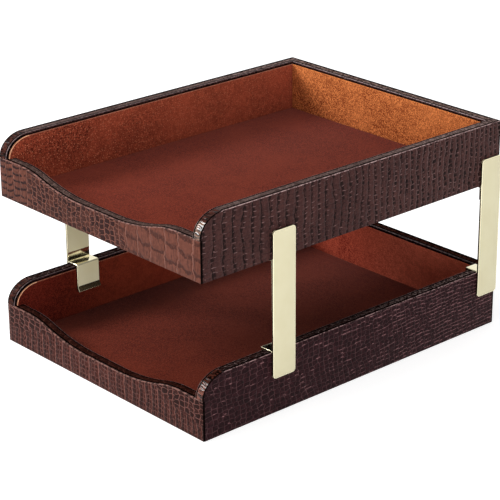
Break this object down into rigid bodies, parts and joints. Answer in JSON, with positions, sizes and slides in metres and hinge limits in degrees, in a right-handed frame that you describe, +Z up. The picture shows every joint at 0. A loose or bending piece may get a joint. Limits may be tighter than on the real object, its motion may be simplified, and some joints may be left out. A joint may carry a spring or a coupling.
{
  "type": "double letter tray",
  "caption": "Two stacked open letter trays, leather outside and suede inside, with scooped fronts, the upper carried on brass posts that clip over the lower tray's sides.",
  "frame": {"origin": "centre of the lower tray's underside, on the surface that it stands on", "axes": "+X to the user's right along the trays' width, +Y from the scooped front to the back, +Z up"},
  "size_m": [0.2544, 0.325, 0.181],
  "materials": {
    "embossed_leather": "reptile-pattern embossed, semi-gloss",
    "suede_lining": "soft suede, matte",
    "polished_brass": "polished",
    "fibreboard": "raw, hidden under the covers",
    "base_felt": "short felt"
  },
  "bodies": {
    "lower_tray": {"lower_base_felt": "base_felt", "lower_floor_board": "fibreboard", "lower_floor_lining": "suede_lining", "lower_front_board": "fibreboard", "lower_front_leather": "embossed_leather", "lower_front_lining": "suede_lining", "lower_back_board": "fibreboard", "lower_back_leather": "embossed_leather", "lower_back_lining": "suede_lining", "lower_left_board": "fibreboard", "lower_left_leather": "embossed_leather", "lower_left_lining": "suede_lining", "lower_right_board": "fibreboard", "lower_right_leather": "embossed_leather", "lower_right_lining": "suede_lining"},
    "upper_tray": {"upper_base_felt": "base_felt", "upper_floor_board": "fibreboard", "upper_floor_lining": "suede_lining", "upper_front_board": "fibreboard", "upper_front_leather": "embossed_leather", "upper_front_lining": "suede_lining", "upper_back_board": "fibreboard", "upper_back_leather": "embossed_leather", "upper_back_lining": "suede_lining", "upper_left_board": "fibreboard", "upper_left_leather": "embossed_leather", "upper_left_lining": "suede_lining", "upper_right_board": "fibreboard", "upper_right_leather": "embossed_leather", "upper_right_lining": "suede_lining"},
    "post_front_right": {"post_front_right_strap": "polished_brass", "post_front_right_clip": "polished_brass", "post_front_right_ledge": "polished_brass"},
    "post_front_left": {"post_front_left_strap": "polished_brass", "post_front_left_clip": "polished_brass", "post_front_left_ledge": "polished_brass"},
    "post_back_right": {"post_back_right_strap": "polished_brass", "post_back_right_clip": "polished_brass", "post_back_right_ledge": "polished_brass"},
    "post_back_left": {"post_back_left_strap": "polished_brass", "post_back_left_clip": "polished_brass", "post_back_left_ledge": "polished_brass"}
  },
  "joints": [
    {"name": "posts_lift", "type": "slide", "parent": "lower_tray", "child": "post_front_right", "axis": [0, 0, 1], "range_m": [0, 0.04]},
    {"name": "post_front_left_lift", "type": "slide", "parent": "lower_tray", "child": "post_front_left", "axis": [0, 0, 1], "range_m": [0, 0.04]},
    {"name": "post_back_right_lift", "type": "slide", "parent": "lower_tray", "child": "post_back_right", "axis": [0, 0, 1], "range_m": [0, 0.04]},
    {"name": "post_back_left_lift", "type": "slide", "parent": "lower_tray", "child": "post_back_left", "axis": [0, 0, 1], "range_m": [0, 0.04]},
    {"name": "upper_tray_lift", "type": "slide", "parent": "post_front_right", "child": "upper_tray", "axis": [0, 0, 1], "range_m": [0, 0.05]}
  ],
  "couplings": [
    {"joint": "post_front_left_lift", "follows": "posts_lift", "ratio": 1},
    {"joint": "post_back_right_lift", "follows": "posts_lift", "ratio": 1},
    {"joint": "post_back_left_lift", "follows": "posts_lift", "ratio": 1}
  ]
}
